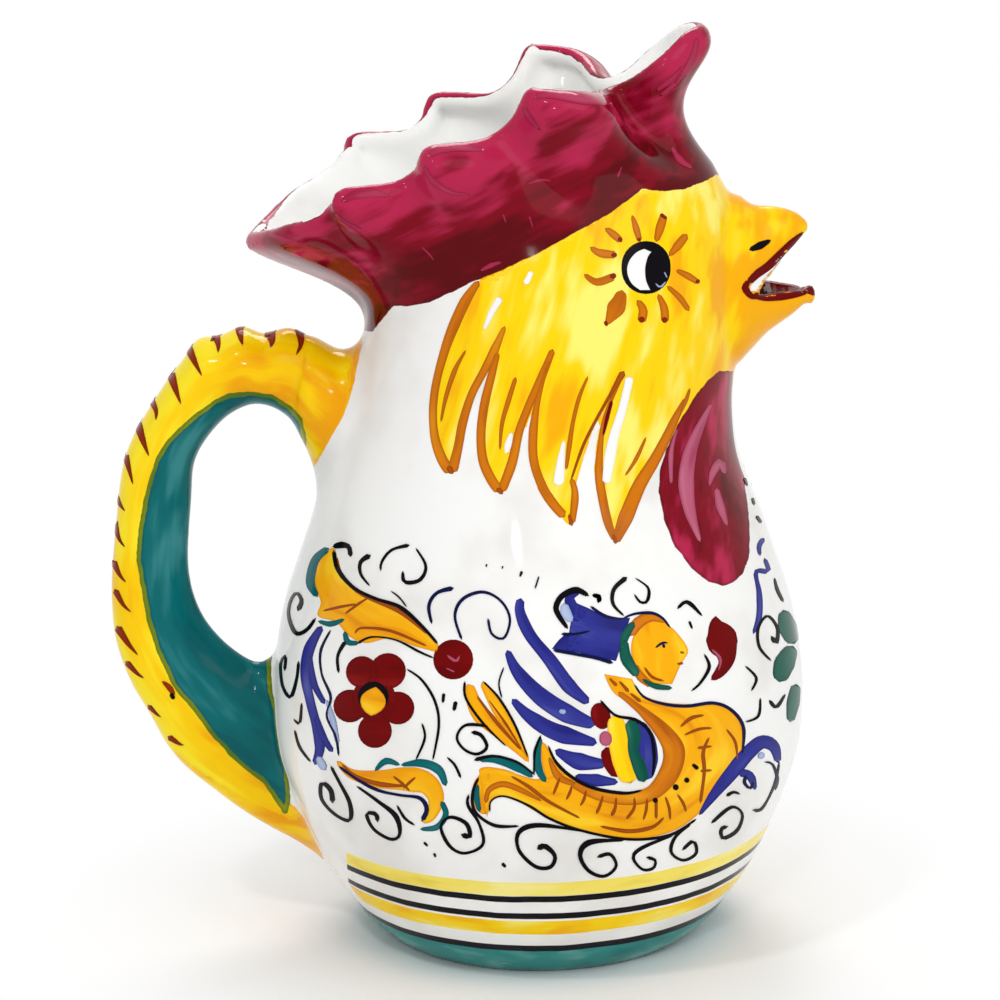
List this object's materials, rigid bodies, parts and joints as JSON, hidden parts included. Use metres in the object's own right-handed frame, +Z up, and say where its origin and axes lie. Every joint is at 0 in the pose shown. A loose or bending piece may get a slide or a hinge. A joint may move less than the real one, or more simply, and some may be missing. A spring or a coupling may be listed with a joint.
{
  "type": "rooster pitcher",
  "caption": "Glazed earthenware rooster pitcher: round belly, open scalloped comb to fill, open beak to pour, and a loop handle at the back.",
  "frame": {"origin": "centre of the foot's flat underside, where the pitcher stands", "axes": "+Z up along the belly's axis, +X towards the beak, -X towards the handle, mirror plane Y = 0"},
  "size_m": [0.1915, 0.1446, 0.2501],
  "materials": {
    "white_glaze": "glossy white tin glaze",
    "yellow_glaze": "glossy brushed yellow under a clear glaze",
    "maroon_glaze": "glossy brushed maroon under a clear glaze",
    "teal_glaze": "glossy brushed teal under a clear glaze"
  },
  "bodies": {
    "root": {"foot": "teal_glaze", "belly": "white_glaze", "head": "white_glaze", "comb": "maroon_glaze", "upper_beak": "yellow_glaze", "lower_beak": "yellow_glaze", "handle": "yellow_glaze"}
  },
  "joints": []
}
